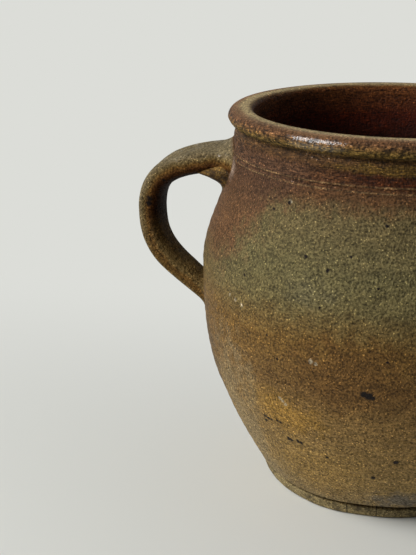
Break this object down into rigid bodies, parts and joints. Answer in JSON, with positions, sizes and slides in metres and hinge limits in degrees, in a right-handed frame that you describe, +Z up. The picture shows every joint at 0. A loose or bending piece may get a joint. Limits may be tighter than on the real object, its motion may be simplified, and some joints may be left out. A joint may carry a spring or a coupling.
{
  "type": "two-handled stoneware pot",
  "caption": "Open, round-bellied stoneware pot on a flat foot, with a thick rim and strap handles on both sides, for storing and carrying food.",
  "frame": {"origin": "centre of the pot's flat underside, where it stands on a table", "axes": "+Z up along the pot's axis; the handles lie along X, and the picture looks along +Y"},
  "size_m": [0.309, 0.229, 0.2285],
  "materials": {
    "bare_clay": "rough wood-fired stoneware, thinly glazed",
    "ash_glaze": "olive and ochre ash glaze with an orange-peel skin",
    "handle_glaze": "brown salt and ash glaze, uneven gloss"
  },
  "bodies": {
    "root": {"base_slab": "bare_clay", "pot_wall": "ash_glaze", "left_handle": "handle_glaze", "right_handle": "handle_glaze", "left_upper_wad": "handle_glaze", "right_upper_wad": "handle_glaze", "left_lower_wad": "handle_glaze", "right_lower_wad": "handle_glaze"}
  },
  "joints": []
}
